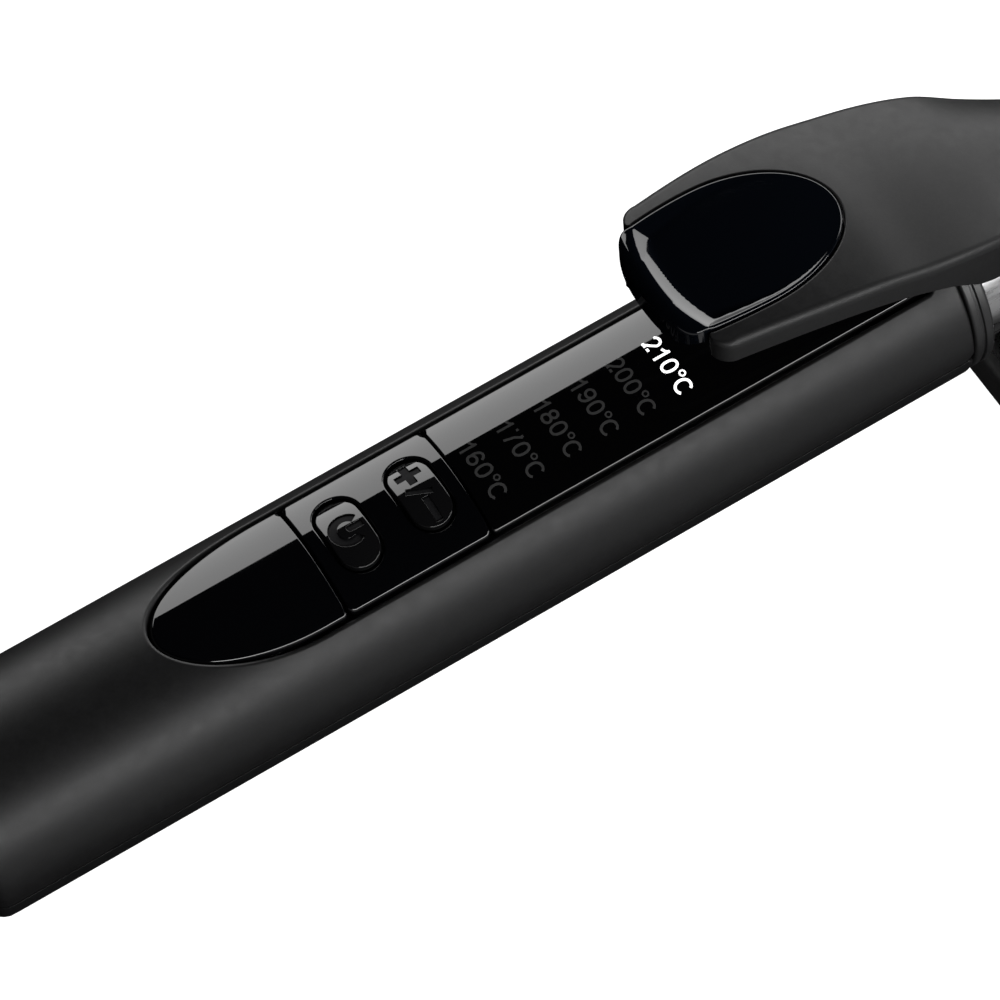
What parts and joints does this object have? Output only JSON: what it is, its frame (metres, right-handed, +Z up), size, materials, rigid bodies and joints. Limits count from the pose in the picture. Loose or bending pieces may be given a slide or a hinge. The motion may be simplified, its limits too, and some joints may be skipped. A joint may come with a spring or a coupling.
{
  "type": "curling iron",
  "caption": "Corded curling iron with a round soft-touch handle, gloss panel with power and plus/minus keys and temperature labels, sprung clamp on a black barrel and a fold-out stand.",
  "frame": {"origin": "centre of the bounding box in X and Y, on the table the iron rests on", "axes": "+X towards the barrel tip along the iron, nose up by 5 degrees; +Z up; +Y to the left of the panel seen from the tail"},
  "size_m": [0.3513, 0.0344, 0.0628],
  "materials": {
    "soft_touch": "soft-touch satin",
    "gloss_trim": "piano gloss",
    "display": "gloss over printed labels",
    "heat_plastic": "fine satin",
    "coated_barrel": "black ceramic coating, satin gloss",
    "steel": "satin",
    "foot_rubber": "matt",
    "white_plastic": "matt",
    "board": "solder mask",
    "component_black": "moulded",
    "led": "clear white",
    "film": "film",
    "ceramic_grey": "unglazed",
    "brass": "plain",
    "carrier_aluminium": "extruded",
    "wire_red": "insulation",
    "wire_white": "insulation"
  },
  "bodies": {
    "handle": {"upper_casing": "soft_touch", "lower_casing": "soft_touch", "rear_trim_panel": "gloss_trim", "key_panel": "gloss_trim", "display_window": "display", "front_collar": "heat_plastic", "cool_tip": "heat_plastic", "barrel": "coated_barrel", "barrel_bracket": "steel", "pivot_pin": "steel", "clamp_spring": "steel", "stand_pin": "steel", "tip_screw": "steel", "casing_screw_1": "steel", "casing_screw_2": "steel", "casing_screw_3": "steel", "casing_screw_4": "steel", "light_guide": "white_plastic", "swivel_socket": "white_plastic", "tip_insulator": "white_plastic", "thermal_fuse": "white_plastic", "circuit_board": "board", "power_switch": "component_black", "plus_switch": "component_black", "minus_switch": "component_black", "controller_chip": "component_black", "triac": "component_black", "led_160": "led", "led_170": "led", "led_180": "led", "led_190": "led", "led_200": "led", "led_210": "led", "capacitor": "film", "mica_sleeve": "film", "ptc_stone_rear": "ceramic_grey", "ptc_stone_front": "ceramic_grey", "thermistor": "ceramic_grey", "brush_live": "brass", "brush_neutral": "brass", "heater_carrier_upper": "carrier_aluminium", "heater_carrier_lower": "carrier_aluminium", "live_wire": "wire_red", "neutral_wire": "wire_white", "heater_lead_1": "wire_white", "heater_lead_2": "wire_white"},
    "clamp": {"lever_body": "soft_touch", "thumb_insert": "gloss_trim", "clamp_plate": "coated_barrel", "clamp_rivet_left": "steel", "clamp_rivet_right": "steel"},
    "power_button": {"power_key": "gloss_trim"},
    "temperature_rocker": {"plus_minus_key": "gloss_trim"},
    "cord_swivel": {"swivel_gland": "heat_plastic", "slip_ring_live": "brass", "slip_ring_neutral": "brass"},
    "stand": {"stand_leg": "steel", "stand_foot": "foot_rubber"}
  },
  "joints": [
    {"name": "clamp_pivot", "type": "hinge", "parent": "handle", "child": "clamp", "pos_m": [0.00484, 0, 0.04811], "axis": [0, -1, 0], "range_deg": [0, 12], "stiffness_Nm_per_rad": 0.15, "springref_deg": -28.65, "deforming": ["clamp_spring"]},
    {"name": "power_press", "type": "slide", "parent": "handle", "child": "power_button", "axis": [0.0872, 0, -0.9962], "range_m": [0, 0.0008], "stiffness_N_per_m": 600, "springref_m": -0.0005},
    {"name": "temperature_rock", "type": "hinge", "parent": "handle", "child": "temperature_rocker", "pos_m": [-0.08586, 0, 0.03616], "axis": [0.9962, 0, 0.0872], "range_deg": [-4, 4], "stiffness_Nm_per_rad": 0.14},
    {"name": "cord_turn", "type": "hinge", "parent": "handle", "child": "cord_swivel", "pos_m": [-0.16502, 0, 0.01619], "axis": [0.9962, 0, 0.0872], "continuous": true},
    {"name": "stand_fold", "type": "hinge", "parent": "handle", "child": "stand", "pos_m": [0.01567, 0, 0.01614], "axis": [0, -1, 0], "range_deg": [0, 105]}
  ]
}
